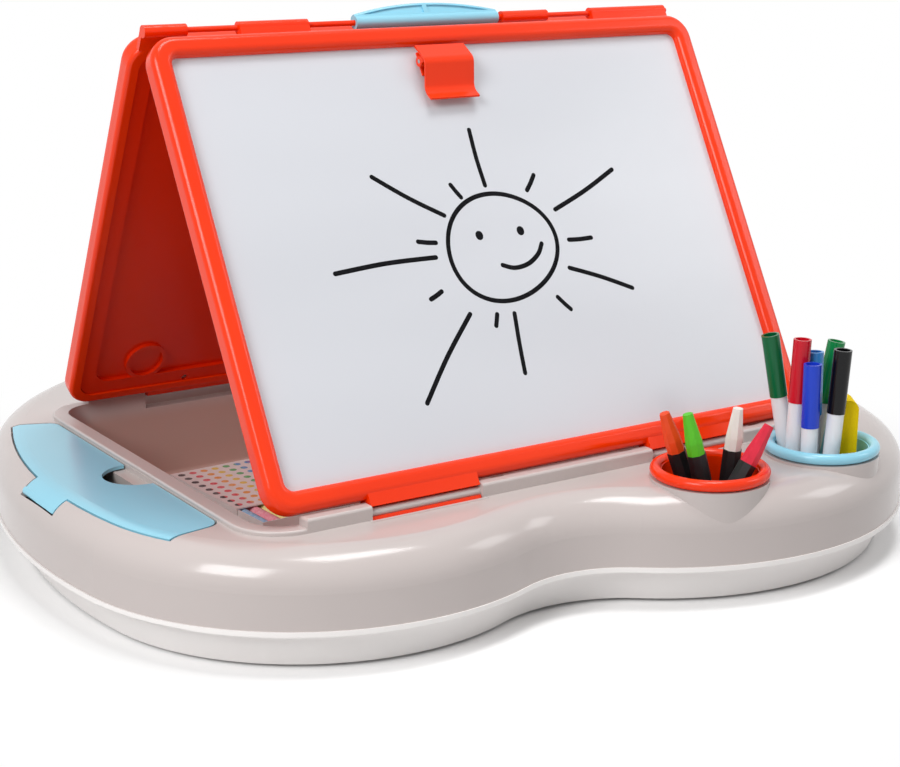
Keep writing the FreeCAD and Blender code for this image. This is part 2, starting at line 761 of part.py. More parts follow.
def carry_handle():
    """A half-moon grip that swings on the ridge rod, with two shallow recesses and a rib between them."""
    half = handle_length / 2
    near = handle_barrel / 2
    edge = [Vector(-half, near, 0), Vector(half, near, 0), Vector(half, handle_end_reach, 0),
            Vector(0, handle_reach, 0), Vector(-half, handle_end_reach, 0)]
    wire = Part.Wire([Part.makeLine(edge[0], edge[1]), Part.makeLine(edge[1], edge[2]),
                      Part.Arc(edge[2], edge[3], edge[4]).toShape(), Part.makeLine(edge[4], edge[0])])
    plate = Part.Face(wire).extrude(Vector(0, 0, handle_thick))
    recess = Part.Face(wire).makeOffset2D(-handle_rim).extrude(Vector(0, 0, handle_thick))
    recess.translate(Vector(0, 0, handle_thick - handle_recess))
    recess = recess.cut(box(-handle_rib / 2, handle_rib / 2, 0, handle_reach, 0, overrun))
    crown = [e for e in plate.Edges if e.BoundBox.YMax > handle_reach - tiny]
    plate = plate.makeFillet(handle_edge_round, crown).cut(recess)
    plate.translate(Vector(0, 0, -handle_thick / 2))
    grip = plate.fuse(bar_x(-half, half, 0, 0, handle_barrel)).removeSplitter()
    grip = grip.cut(bar_x(-overrun - half, overrun + half, 0, 0, ridge_rod_radius + run_gap))
    grip.rotate(origin, along_x, handle_rest_deg)
    grip.translate(Vector(0, 0, ridge_z))
    return grip


def clip_point(from_edge, rise):
    """A point of the clip's section: distance down from the board's top edge, height above the sheet."""
    return Vector(0, board_top - from_edge, sheet_face + rise)


def on_clip_place(shape):
    """Move a piece of the clip from the board's middle line to the clip's place, then lean it."""
    shape = shape.copy()
    shape.translate(Vector(clip_from_middle, 0, 0))
    return leaned(shape, -1)


def bent_strip(points, rounds, thick, width):
    """A strip along straight runs with round bends, of even thickness, across the board's middle."""
    edges = []
    start = points[0]
    for i in range(1, len(points) - 1):
        back = (points[i - 1] - points[i]).normalize()
        ahead = (points[i + 1] - points[i]).normalize()
        turn = back.getAngle(ahead)
        run = rounds[i - 1] / math.tan(turn / 2)
        first, last = points[i] + back * run, points[i] + ahead * run
        middle = points[i] + (back + ahead).normalize() * (rounds[i - 1] / math.sin(turn / 2) - rounds[i - 1])
        edges += [Part.makeLine(start, first), Part.Arc(first, middle, last).toShape()]
        start = last
    edges.append(Part.makeLine(start, points[-1]))
    section = Part.Wire(edges).makeOffset2D(thick / 2, 0, True, True)
    strip = section.extrude(Vector(width, 0, 0))
    strip.translate(Vector(-width / 2, 0, 0))
    return strip


def paper_clip():
    """A hump-backed spring clip: pressing its upper edge lifts the lip off the sheet."""
    strip = bent_strip([clip_point(clip_root_from_edge, clip_root_rise),
                        clip_point(clip_crest_from_edge, clip_crest_rise),
                        clip_point(clip_pinch_from_edge, clip_pinch_rise),
                        clip_point(clip_lip_from_edge, clip_lip_rise)],
                       [clip_crest_round, clip_pinch_round], clip_thick, clip_width)
    pin = clip_point(clip_pin_from_edge, clip_pin_rise)
    crest = clip_point(clip_crest_from_edge, clip_crest_rise - clip_thick / 2)
    cheeks = []
    for side in (-1, 1):
        x0, x1 = sorted((side * clip_width / 2, side * (clip_width / 2 - clip_cheek)))
        cheek = bar_x(x0, x1, pin.y, pin.z, clip_cheek_radius)
        stem = box(x0, x1, crest.y, pin.y + clip_cheek_radius / 2, pin.z, crest.z)
        cheeks.append(cheek.fuse(stem))
    clip = joined([strip] + cheeks)
    return on_clip_place(clip.cut(bar_x(-clip_width, clip_width, pin.y, pin.z, clip_pin_radius + run_gap)))


def clip_base():
    """The plate on the sheet with two ears that hold the clip's pin."""
    pin = clip_point(clip_pin_from_edge, clip_pin_rise)
    half = clip_width / 2 - clip_cheek - side_gap
    plate = box(-half, half, pin.y - clip_base_length / 2, pin.y + clip_base_length / 2, sheet_face,
                sheet_face + clip_base_thick)
    ears = []
    for side in (-1, 1):
        x0, x1 = sorted((side * half, side * (half - clip_ear)))
        ear = bar_x(x0, x1, pin.y, pin.z, clip_pin_radius * 2)
        root = box(x0, x1, pin.y - clip_pin_radius * 2, pin.y + clip_pin_radius * 2, sheet_face, pin.z)
        ears.append(ear.fuse(root))
    base = joined([plate] + ears)
    return on_clip_place(base.cut(bar_x(-clip_width, clip_width, pin.y, pin.z, clip_pin_radius + press_gap)))


def clip_pin():
    pin = clip_point(clip_pin_from_edge, clip_pin_rise)
    return on_clip_place(bar_x(-clip_width / 2, clip_width / 2, pin.y, pin.z, clip_pin_radius))


def clip_spring():
    """A leaf spring that stands on the clip's base and bears on the pin."""
    pin = clip_point(clip_pin_from_edge, clip_pin_rise)
    low = sheet_face + clip_base_thick
    y = pin.y + clip_pin_radius + run_gap
    leaf = box(-clip_spring_width / 2, clip_spring_width / 2, y, y + clip_spring_thick, low,
               pin.z + clip_pin_radius)
    foot = box(-clip_spring_width / 2, clip_spring_width / 2, y, pin.y + clip_base_length / 2, low,
               low + clip_spring_thick)
    return on_clip_place(leaf.fuse(foot).removeSplitter())


def cup(place):
    """A lift-out cup with a rolled rim that rests on its collar."""
    rim = Part.makeTorus(cup_ring_radius, cup_ring_tube, Vector(place.x, place.y, cup_rim_z), along_z)
    wall = Part.makeCone(cup_foot_radius, cup_mouth_radius, cup_rim_z - cup_floor,
                         Vector(place.x, place.y, cup_floor), along_z)
    wall = wall.makeFillet(cup_wall, flat_edges(wall, cup_floor))
    room = Part.makeCone(cup_foot_radius - cup_wall, cup_mouth_radius - cup_wall, cup_rim_z - cup_floor,
                         Vector(place.x, place.y, cup_floor + cup_wall), along_z)
    body = wall.fuse(rim)
    return body.cut(room).removeSplitter()


def standing(shape, place, shares, radius):
    """Lean an upright piece in a cup: its axis is given at its foot and level with the cup's rim."""
    x0, y0, x1, y1 = (share * cup_foot_radius for share in shares)
    slant = Vector(x1 - x0, y1 - y0, cup_rim_z - cup_floor - cup_wall)
    lift = seat_gap + radius * math.hypot(slant.x, slant.y) / slant.Length
    foot = Vector(place.x + x0, place.y + y0, cup_floor + cup_wall + lift)
    shape = shape.copy()
    shape.Placement = FreeCAD.Placement(foot, FreeCAD.Rotation(along_z, slant))
    return shape


def marker_barrel(colour):
    length = marker_lengths[colour]
    barrel = bar_z(0, 0, 0, length - marker_cap_length, marker_radius)
    return standing(barrel, pen_cup_place, marker_shares[colour], marker_radius)


def marker_cap(colour):
    length = marker_lengths[colour]
    cap = bar_z(0, 0, length - marker_cap_length, length, marker_cap_radius)
    cap = cap.cut(bar_z(0, 0, length - marker_cap_recess, length, marker_cap_recess_radius))
    return standing(cap, pen_cup_place, marker_shares[colour], marker_radius)


def crayon_ring(radius, z):
    """The crayon's outline at one height: a polygon through corners at the radius."""
    turns = [math.pi * (2 * i + 1) / crayon_sides for i in range(crayon_sides)]
    corners = [Vector(radius * math.cos(turn), radius * math.sin(turn), z) for turn in turns]
    return Part.makePolygon(corners + corners[:1])


def crayon_rod(length, radius):
    return Part.Face(crayon_ring(radius, 0)).extrude(Vector(0, 0, length))


def crayon_stick(colour):
    shoulder = crayon_length - crayon_tip_length
    tip = Part.makeLoft([crayon_ring(crayon_radius, shoulder), crayon_ring(crayon_tip_radius, crayon_length)],
                        True, True)
    stick = crayon_rod(shoulder, crayon_radius).fuse(tip).removeSplitter()
    return standing(stick, crayon_cup_place, crayon_shares[colour], crayon_sleeve_radius)


def crayon_sleeve(colour):
    sleeve = crayon_rod(crayon_sleeve_length, crayon_sleeve_radius)
    sleeve = sleeve.cut(crayon_rod(crayon_sleeve_length, crayon_radius))
    return standing(sleeve, crayon_cup_place, crayon_shares[colour], crayon_sleeve_radius)


def in_eraser_place(shape):
    """Stand a piece of the eraser in the pen cup, turned so that its felt faces the pens."""
    shape = shape.copy()
    shape.rotate(origin, along_z, eraser_turn_deg)
    shape.translate(Vector(pen_cup_place.x + eraser_shares[0] * cup_foot_radius,
                           pen_cup_place.y + eraser_shares[1] * cup_foot_radius,
                           cup_floor + cup_wall + seat_gap))
    return shape


def eraser_block():
    block = box(-eraser_thick / 2, eraser_thick / 2, -eraser_width / 2, eraser_width / 2, 0, eraser_length)
    crown = [e for e in flat_edges(block, eraser_length) if e.BoundBox.YLength > eraser_width / 2]
    return in_eraser_place(block.makeFillet(eraser_round, crown))


def eraser_felt():
    return in_eraser_place(box(-eraser_thick / 2 - eraser_pad, -eraser_thick / 2, -eraser_width / 2,
                               eraser_width / 2, 0, eraser_length - eraser_round))


def laid_in_tray(shape):
    """Put a piece of the chalk box on the tray's floor."""
    shape = shape.copy()
    shape.rotate(origin, along_z, chalk_turn_deg)
    shape.translate(Vector(chalk_box_shares[0] * tray_half_x, chalk_box_shares[1] * tray_half_y,
                           tray_floor + seat_gap))
    return shape


def chalk_box():
    """A card sleeve, open at its front end."""
    half_x, half_y = chalk_box_width / 2, chalk_box_length / 2
    sleeve = box(-half_x, half_x, -half_y, half_y, 0, chalk_box_height)
    room = box(-half_x + chalk_card, half_x - chalk_card, -half_y - overrun, half_y - chalk_card, chalk_card,
               chalk_box_height - chalk_card)
    return laid_in_tray(sleeve.cut(room))


def chalk_drawer():
    """The card drawer of the sleeve, pulled part of the way out."""
    half_x = chalk_box_width / 2 - chalk_card - panel_gap
    y0 = -chalk_box_length / 2 - chalk_pull
    y1 = y0 + chalk_box_length - chalk_card - panel_gap
    low = chalk_card + panel_gap
    drawer = box(-half_x, half_x, y0, y1, low, chalk_box_height - chalk_card - panel_gap)
    room = box(-half_x + chalk_card, half_x - chalk_card, y0 + chalk_card, y1 - chalk_card, low + chalk_card,
               chalk_box_height)
    return laid_in_tray(drawer.cut(room))


def chalk_sticks():
    pitch = (chalk_box_width - chalk_radius) / chalk_count
    y0 = -chalk_box_length / 2 - chalk_pull + chalk_card + side_gap
    y1 = y0 + chalk_box_length - chalk_card * 4 - side_gap
    z = chalk_card * 2 + panel_gap + seat_gap + chalk_radius
    return laid_in_tray(group([bar_y((i - (chalk_count - 1) / 2) * pitch, y0, y1, z, chalk_radius)
                               for i in range(chalk_count)]))


def pieces():
    yield "base_top_shell", base_top_shell()
    yield "bottom_pan", bottom_pan()
    yield "rubber_feet", rubber_feet()
    yield "base_screws", base_screws()
    yield "storage_tray", storage_tray()
    yield "front_hinge_rods", hinge_rods(-1)
    yield "rear_hinge_rods", hinge_rods(1)
    yield "side_bin", side_bin()
    yield "storage_lid", storage_lid()
    yield "lid_hinge_pin", lid_hinge_pin()
    for side, name, face in ((-1, "front", "whiteboard"), (1, "back", "chalkboard")):
        yield name + "_frame", board_frame(side)
        yield face + "_sheet", board_sheet(side)
        yield name + "_backing", board_backing(side)
        yield name + "_board_screws", board_screws(side)
    yield "ridge_rod", ridge_rod()
    yield "carry_handle", carry_handle()
    yield "paper_clip", paper_clip()
    yield "clip_base", clip_base()
    yield "clip_pin", clip_pin()
    yield "clip_spring", clip_spring()
    yield "crayon_cup", cup(crayon_cup_place)
    yield "pen_cup", cup(pen_cup_place)
    yield "marker_barrels", group([marker_barrel(colour) for colour in marker_shares])
    for colour in marker_shares:
        yield "marker_cap_" + colour, marker_cap(colour)
    yield "crayon_sleeves", group([crayon_sleeve(colour) for colour in crayon_shares])
    for colour in crayon_shares:
        yield "crayon_" + colour, crayon_stick(colour)
    yield "eraser_block", eraser_block()
    yield "eraser_felt", eraser_felt()
    yield "chalk_box", chalk_box()
    yield "chalk_drawer", chalk_drawer()
    yield "chalk_sticks", chalk_sticks()


def main():
    os.makedirs("parts", exist_ok=True)
    centre = Vector(-footprint.Center.x, -footprint.Center.y, 0)
    for name, shape in pieces():
        shape = shape.copy()
        shape.translate(centre)
        shape.exportStep(os.path.join("parts", name + ".step"))
    print("board middle at", centre, "ridge height", ridge_z, "hinge rods at", hinge_y, hinge_z)


main()
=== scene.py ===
import json
import math

import bpy
from mathutils import Matrix, Vector


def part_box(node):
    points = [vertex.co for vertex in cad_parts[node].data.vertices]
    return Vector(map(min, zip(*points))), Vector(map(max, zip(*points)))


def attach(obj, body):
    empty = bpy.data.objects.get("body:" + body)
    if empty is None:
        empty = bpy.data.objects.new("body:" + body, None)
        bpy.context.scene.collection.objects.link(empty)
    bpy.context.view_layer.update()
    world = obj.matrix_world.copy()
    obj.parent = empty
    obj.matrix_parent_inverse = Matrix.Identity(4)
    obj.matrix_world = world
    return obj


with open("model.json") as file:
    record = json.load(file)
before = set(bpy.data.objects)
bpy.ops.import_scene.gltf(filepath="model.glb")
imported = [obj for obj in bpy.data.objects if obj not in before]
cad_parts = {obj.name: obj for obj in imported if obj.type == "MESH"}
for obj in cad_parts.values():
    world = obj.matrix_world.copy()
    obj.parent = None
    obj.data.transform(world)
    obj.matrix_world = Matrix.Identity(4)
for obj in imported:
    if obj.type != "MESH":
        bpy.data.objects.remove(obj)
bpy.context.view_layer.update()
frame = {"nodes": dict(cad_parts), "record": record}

bl_info = {
    "name": "Tabletop easel finish",
    "version": (1, 0, 0),
    "blender": (4, 5, 0),
    "location": "View3D > Sidebar > Easel",
    "description": "Dresses a two-sided tabletop easel: its finishes, a marker drawing and a studio stage",
    "category": "Object",
}

MM = 0.001
joints = {joint["name"]: joint for joint in frame["record"]["behaviour"]["joints"]}
ridge = Vector(joints["ridge_hinge"]["pos_m"])

# The writing face is the largest face of the sheet that looks up.
sheet_faces = [face for face in frame["nodes"]["whiteboard_sheet"].data.polygons if face.normal.z > 0]
writing_face = max(sheet_faces, key=lambda face: face.area)
lean = math.atan2(-writing_face.normal.y, writing_face.normal.z)

# From the flat whiteboard (x along it, y up it from the ridge, z out of it) to its place on the easel.
board_place = Matrix.Translation(ridge) @ Matrix.Rotation(lean, 4, "X")
sheet_height = (board_place.inverted() @ writing_face.center).z

# The colour sockets of a Mix node share their names with its number sockets, so they are taken by index.
MIX_FIRST, MIX_SECOND, MIX_RESULT = 6, 7, 2


def linear(hex_colour):
    """An sRGB hex colour as linear RGBA."""
    channels = [int(hex_colour[i:i + 2], 16) / 255 for i in (1, 3, 5)]
    return [c / 12.92 if c <= 0.04045 else ((c + 0.055) / 1.055) ** 2.4 for c in channels] + [1.0]


def node(tree, kind, inputs=None, **settings):
    """Adds a node, sets its options, and sets or links its inputs."""
    made = tree.nodes.new(kind)
    for name, value in settings.items():
        setattr(made, name, value)
    for name, value in (inputs or {}).items():
        if isinstance(value, bpy.types.NodeSocket):
            tree.links.new(value, made.inputs[name])
        else:
            made.inputs[name].default_value = value
    return made


def new_material(name, **shader):
    """A material with one shader whose plain values are given by socket name."""
    made = bpy.data.materials.new(name)
    made.use_nodes = True
    tree = made.node_tree
    tree.nodes.clear()
    values = {socket.replace("_", " "): value for socket, value in shader.items()}
    surface = node(tree, "ShaderNodeBsdfPrincipled", values)
    node(tree, "ShaderNodeOutputMaterial", {"Surface": surface.outputs["BSDF"]})
    place = node(tree, "ShaderNodeTexCoord")
    return made, tree, surface, place.outputs["Object"]


def per_metre(millimetres):
    """Pattern scale whose cells are about this many millimetres across."""
    return 1.0 / (millimetres * MM)


def mottle(tree, place, size_mm, low=0.0, high=1.0, detail=2.0):
    """Noise of a real size, mapped smoothly to a range of values."""
    noise = node(tree, "ShaderNodeTexNoise", {"Vector": place, "Scale": per_metre(size_mm), "Detail": detail})
    spread = {"Value": noise.outputs["Fac"], "From Min": 0.2, "From Max": 0.8, "To Min": low, "To Max": high}
    return node(tree, "ShaderNodeMapRange", spread, interpolation_type="SMOOTHERSTEP").outputs["Result"]


def paint(tree, surface, share, colour, shade):
    """Colours a surface from a colour at share 0 to a shade at share 1, each a hex value or a socket."""
    ends = [c if isinstance(c, bpy.types.NodeSocket) else linear(c) for c in (colour, shade)]
    mix = node(tree, "ShaderNodeMix", {"Factor": share, MIX_FIRST: ends[0], MIX_SECOND: ends[1]},
               data_type="RGBA")
    tree.links.new(mix.outputs[MIX_RESULT], surface.inputs["Base Color"])


def roughen(tree, surface, place, size_mm, low, high):
    """Roughness that drifts between two values over a real size."""
    tree.links.new(mottle(tree, place, size_mm, low, high), surface.inputs["Roughness"])


def grain(tree, surface, place, size_mm, depth_mm, detail=1.0):
    """Surface relief of a real grain size and depth."""
    noise = node(tree, "ShaderNodeTexNoise", {"Vector": place, "Scale": per_metre(size_mm), "Detail": detail})
    bump = node(tree, "ShaderNodeBump", {"Height": noise.outputs["Fac"], "Distance": depth_mm * MM,
                                         "Strength": 1.0})
    tree.links.new(bump.outputs["Normal"], surface.inputs["Normal"])


def mould_skin(tree, surface, place, roughness):
    """What a mould leaves on plastic: a soft gloss that drifts a little, and a slight orange peel."""
    roughen(tree, surface, place, size_mm=40, low=roughness, high=roughness + 0.04)
    grain(tree, surface, place, size_mm=9.0, depth_mm=0.006)


def moulded(name, colour, shade, roughness, **shader):
    """Injection-moulded plastic: even colour with slow drift, a soft gloss and a slight orange peel."""
    made, tree, surface, place = new_material(name, IOR=1.5, **shader)
    paint(tree, surface, mottle(tree, place, size_mm=90), colour, shade)
    mould_skin(tree, surface, place, roughness)
    return made


def tray_plastic_and_bounce(rim_colour, tub_bounce_colour):
    """Moulded tub: its rim is the base's grey, and below the deck a warmer colour is painted in as red light
    bounced off the boards.
    """
    made, tree, surface, place = new_material("satin_pp_tray", IOR=1.5)
    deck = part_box("storage_lid")[1].z
    fade_depth = 16 * MM
    height = node(tree, "ShaderNodeSeparateXYZ", {"Vector": place}).outputs["Z"]
    fade = {"Value": height, "From Min": deck - fade_depth, "From Max": deck}
    rise = node(tree, "ShaderNodeMapRange", fade, interpolation_type="SMOOTHERSTEP").outputs["Result"]
    # Painted light: below the deck the tub takes a warmer colour that stands in for red light bounced off the
    # boards.
    paint(tree, surface, rise, tub_bounce_colour, rim_colour)
    mould_skin(tree, surface, place, roughness=0.3)
    return made


def whiteboard_melamine():
    """Melamine writing sheet: hard, white and glossy, with faint smears where ink was wiped off."""
    made, tree, surface, place = new_material("whiteboard_melamine", IOR=1.5)
    wiped = node(tree, "ShaderNodeMapping", {"Vector": place, "Scale": (0.35, 1.0, 1.6),
                                             "Rotation": (0, 0.4, 0)}).outputs["Vector"]
    paint(tree, surface, mottle(tree, wiped, size_mm=90, detail=1.0), "#D6D8DE", "#D2D4DA")
    roughen(tree, surface, wiped, size_mm=60, low=0.2, high=0.25)
    return made


def chalkboard_paint():
    """Painted fibreboard: matt and dark, with a pale haze of wiped chalk along the rubbing strokes."""
    made, tree, surface, place = new_material("chalkboard_paint", IOR=1.45)
    rubbed = node(tree, "ShaderNodeMapping", {"Vector": place, "Scale": (0.5, 1.0, 1.0),
                                              "Rotation": (0, 0.7, 0)}).outputs["Vector"]
    paint(tree, surface, mottle(tree, rubbed, size_mm=60, high=0.3, detail=3.0), "#2A302D", "#6A706D")
    roughen(tree, surface, place, size_mm=12, low=0.75, high=0.92)
    grain(tree, surface, place, size_mm=0.9, depth_mm=0.05)
    return made


def plated_steel():
    """Zinc-plated steel pins and screws: grey metal with fine turning marks."""
    made, tree, surface, place = new_material("plated_steel", Metallic=1.0, Base_Color=linear("#B4B6B8"))
    roughen(tree, surface, place, size_mm=1.5, low=0.28, high=0.45)
    return made


def foot_rubber():
    """Moulded rubber feet: dark, dull and slightly grainy."""
    made, tree, surface, place = new_material("foot_rubber", IOR=1.5, Roughness=0.8)
    paint(tree, surface, mottle(tree, place, size_mm=6), "#3A3A3C", "#2C2C2E")
    grain(tree, surface, place, size_mm=1.2, depth_mm=0.05)
    return made


def crayon_wax(name, colour, shade):
    """Pressed wax: a soft sheen, streaked along the stick, with a little light under the skin."""
    made, tree, surface, place = new_material(name, IOR=1.45, Subsurface_Weight=0.08, Subsurface_Scale=2 * MM)
    streaked = node(tree, "ShaderNodeMapping", {"Vector": place, "Scale": (1.0, 1.0, 0.25)}).outputs["Vector"]
    paint(tree, surface, mottle(tree, streaked, size_mm=3, high=0.8, detail=3.0), colour, shade)
    roughen(tree, surface, place, size_mm=4, low=0.38, high=0.55)
    grain(tree, surface, place, size_mm=2.0, depth_mm=0.08)
    return made


def sleeve_paper():
    """Paper sleeve of a crayon: black with a slight gloss, rubbed greyer in places."""
    made, tree, surface, place = new_material("sleeve_paper", IOR=1.45)
    paint(tree, surface, mottle(tree, place, size_mm=5, high=0.6, detail=4.0), "#101012", "#1B1B1E")
    roughen(tree, surface, place, size_mm=7, low=0.4, high=0.6)
    return made


def eraser_felt():
    """Pressed felt: dark, matt fibres, drawn about 1 mm coarse so that they show."""
    made, tree, surface, place = new_material("eraser_felt_pad", Roughness=0.95, Sheen_Weight=0.4)
    paint(tree, surface, mottle(tree, place, size_mm=1.0, detail=4.0), "#2A2A2C", "#3B3B3E")
    grain(tree, surface, place, size_mm=1.0, depth_mm=0.3, detail=4.0)
    return made


def eraser_foam():
    """Closed-cell foam: bright yellow and dull with cells of under a millimetre, each pit painted a little
    darker as shade.
    """
    made, tree, surface, place = new_material("eraser_foam", Roughness=0.75, Specular_IOR_Level=0.2)
    cell_mm = 0.9
    pit_depth = 0.06 * MM
    cells = node(tree, "ShaderNodeTexVoronoi", {"Vector": place, "Scale": per_metre(cell_mm)})
    height = cells.outputs["Distance"]
    # Painted shade: the colour darkens towards the middle of each cell, where the bump sinks it into a pit.
    pit_shade = node(tree, "ShaderNodeMapRange", {"Value": height, "From Max": 0.6, "To Min": 0.35, "To Max": 0.0})
    paint(tree, surface, pit_shade.outputs["Result"], "#FFDA00", "#EAC000")
    bump = node(tree, "ShaderNodeBump", {"Height": height, "Distance": pit_depth})
    tree.links.new(bump.outputs["Normal"], surface.inputs["Normal"])
    return made


def chalk_card():
    """Coated folding card: off-white with a faint fibre and a soft sheen."""
    made, tree, surface, place = new_material("chalk_card", IOR=1.45, Roughness=0.5)
    paint(tree, surface, mottle(tree, place, size_mm=8, high=0.6, detail=4.0), "#F6F2F0", "#EFEAE7")
    grain(tree, surface, place, size_mm=1.5, depth_mm=0.02)
    return made


def colour_steps(tree, place, low_x, high_x, colours):
    """Bands of colour of equal width along X, from one place to another."""
    along = node(tree, "ShaderNodeSeparateXYZ", {"Vector": place}).outputs["X"]
    step = node(tree, "ShaderNodeMapRange", {"Value": along, "From Min": low_x, "From Max": high_x})
    ramp = node(tree, "ShaderNodeValToRGB", {"Fac": step.outputs["Result"]})
    ramp.color_ramp.interpolation = "CONSTANT"
    bands = ramp.color_ramp.elements
    while len(bands) < len(colours):
        bands.new(0.5)
    for i, colour in enumerate(colours):
        bands[i].position = i / len(colours)
        bands[i].color = linear(colour)
    return ramp.outputs["Color"]


def chalk_stick():
    """Pressed chalk: powdery and matt; the colour steps from stick to stick across the box."""
    made, tree, surface, place = new_material("chalk_stick", Roughness=0.95)
    low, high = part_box("chalk_sticks")
    sticks = colour_steps(tree, place, low.x, high.x, ("#8FC3EA", "#F394A8", "#F4E48A", "#F4F1EC", "#9AD6A6",
                                                       "#F394A8", "#8FC3EA", "#F4F1EC"))
    paint(tree, surface, mottle(tree, place, size_mm=2, high=0.35, detail=4.0), sticks, "#FAF7F2")
    grain(tree, surface, place, size_mm=1.0, depth_mm=0.1)
    return made


def printed_dots():
    """Offset ink on card: bright flat colours with a faint paper speckle."""
    made, tree, surface, place = new_material("printed_dots", IOR=1.45, Roughness=0.45)
    low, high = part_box("chalk_box")
    inks = colour_steps(tree, place, low.x, high.x, ("#1B1B1E", "#E8505A", "#F2A33A", "#F0D23C", "#58B868",
                                                     "#3E9BD8", "#8A62B8", "#E8505A"))
    paint(tree, surface, mottle(tree, place, size_mm=1.5, high=0.2, detail=3.0), inks, "#FFFFFF")
    return made


def marker_ink():
    """Dry-wipe ink on the sheet: a dull black film, thinner in places."""
    made, tree, surface, place = new_material("marker_ink", IOR=1.45, Roughness=0.6, Specular_IOR_Level=0.06)
    paint(tree, surface, mottle(tree, place, size_mm=2.5, high=0.6), "#0B0B0D", "#1E1E22")
    return made


def dress(finish, *nodes):
    """Gives CAD nodes a finish."""
    for name in nodes:
        slots = frame["nodes"][name].data.materials
        if not slots:
            slots.append(finish)
        for i in range(len(slots)):
            slots[i] = finish


def settle(name, mesh, finish, body):
    """Adds a finished piece at the origin that rides on a body."""
    mesh.materials.clear()
    mesh.materials.append(finish)
    piece = bpy.data.objects.new(name, mesh)
    bpy.context.scene.collection.objects.link(piece)
    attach(piece, body)


class EaselColours(bpy.types.PropertyGroup):
    """Colours of the easel's main finishes, as sRGB hex values."""
    shell: bpy.props.StringProperty(name="Base", description="Moulded base", default="#C9BFBC")
    shell_shade: bpy.props.StringProperty(name="Base shade", description="Slow drift of the base",
                                          default="#C5BBB8")
    # Partly painted light: the pan's near-white colour is its own paler plastic, brightened further to stand
    # in for floor light falling on the band below the seam.
    pan: bpy.props.StringProperty(name="Pan", description="Pale lower pan", default="#FAF6F4")
    pan_shade: bpy.props.StringProperty(name="Pan shade", description="Slow drift of the pan",
                                        default="#F6F1EF")
    # Painted red bounce light: the warm colour that the tray takes below the deck stands in for light thrown
    # into it by the red boards.
    tub: bpy.props.StringProperty(name="Tub", description="Tray below the deck", default="#C8A99E")
    frame_red: bpy.props.StringProperty(name="Frame", description="Board frames, clip and crayon cup",
                                        default="#FA3A02")
    frame_shade: bpy.props.StringProperty(name="Frame shade", description="Slow drift of the frames",
                                          default="#F53500")
    blue: bpy.props.StringProperty(name="Blue parts", description="Lid, handle and pen cup",
                                   default="#93D4E9")
    blue_shade: bpy.props.StringProperty(name="Blue shade", description="Slow drift of the blue parts",
                                         default="#8ED0E6")


class SunDrawing(bpy.types.PropertyGroup):
    """Sizes of the marker drawing on the whiteboard."""
    across: bpy.props.FloatProperty(name="Across", description="Middle, right of the ridge's middle",
                                    default=2 * MM, unit="LENGTH")
    below_ridge: bpy.props.FloatProperty(name="Below ridge",
                                         description="Middle, down the board from the ridge",
                                         default=143 * MM, unit="LENGTH")
    radius: bpy.props.FloatProperty(name="Disc", description="Radius of the drawn disc",
                                    default=35 * MM, unit="LENGTH")
    stroke: bpy.props.FloatProperty(name="Stroke", description="Width of the pen's line",
                                    default=2.8 * MM, unit="LENGTH")
    eye: bpy.props.FloatProperty(name="Eye", description="Width of a drawn eye",
                                 default=5.0 * MM, unit="LENGTH")


class ChalkPrint(bpy.types.PropertyGroup):
    """Sizes of the dots printed on the chalk box."""
    columns: bpy.props.IntProperty(name="Columns", description="Dots across the box", default=8)
    rows: bpy.props.IntProperty(name="Rows", description="Dots along the box", default=9)
    radius: bpy.props.FloatProperty(name="Dot", description="Radius of a dot",
                                    default=2.4 * MM, unit="LENGTH")
    across: bpy.props.FloatProperty(name="Across", description="Between the outer columns",
                                    default=56 * MM, unit="LENGTH")
    along: bpy.props.FloatProperty(name="Along", description="Between the outer rows",
                                   default=72 * MM, unit="LENGTH")
    turn: bpy.props.FloatProperty(name="Turn", description="How the box lies in the tray",
                                  default=math.radians(3), subtype="ANGLE")
    film: bpy.props.FloatProperty(name="Film", description="Thickness of the ink",
                                  default=0.06 * MM, unit="LENGTH")


class EASEL_OT_base(bpy.types.Operator):
    """Finish the base, its tray, its bin and the metal pieces"""
    bl_idname = "easel.base"
    bl_label = "Base"

    def execute(self, context):
        colours = context.scene.easel_colours
        shell = moulded("gloss_abs_shell", colours.shell, colours.shell_shade, roughness=0.16)
        dress(shell, "base_top_shell")
        dress(moulded("satin_pp_pan", colours.pan, colours.pan_shade, roughness=0.3), "bottom_pan")
        dress(tray_plastic_and_bounce(colours.shell, colours.tub), "storage_tray", "front_hinge_rods", "rear_hinge_rods")
        dress(moulded("satin_pp_bin", "#C6BDB9", "#C0B6B2", roughness=0.4), "side_bin")
        dress(foot_rubber(), "rubber_feet")
        dress(plated_steel(), "base_screws", "lid_hinge_pin", "front_board_screws", "back_board_screws",
              "clip_pin", "clip_spring")
        return {"FINISHED"}


class EASEL_OT_boards(bpy.types.Operator):
    """Finish the two boards, the ridge, the clip and the crayon cup"""
    bl_idname = "easel.boards"
    bl_label = "Boards"

    def execute(self, context):
        colours = context.scene.easel_colours
        gloss = moulded("gloss_abs_frame", colours.frame_red, colours.frame_shade, roughness=0.18,
                        Specular_IOR_Level=0.3)
        dress(gloss, "front_frame", "back_frame", "paper_clip", "clip_base", "crayon_cup", "ridge_rod")
        satin = moulded("satin_abs_backing", "#EE2E02", "#E82A00", roughness=0.22, Specular_IOR_Level=0.3)
        dress(satin, "front_backing", "back_backing")
        dress(whiteboard_melamine(), "whiteboard_sheet")
        dress(chalkboard_paint(), "chalkboard_sheet")
        return {"FINISHED"}


class EASEL_OT_blue_parts(bpy.types.Operator):
    """Finish the lid, the handle and the pen cup"""
    bl_idname = "easel.blue_parts"
    bl_label = "Blue parts"

    def execute(self, context):
        colours = context.scene.easel_colours
        satin = moulded("satin_pp_blue", colours.blue, colours.blue_shade, roughness=0.21)
        dress(satin, "storage_lid", "carry_handle", "pen_cup")
        return {"FINISHED"}


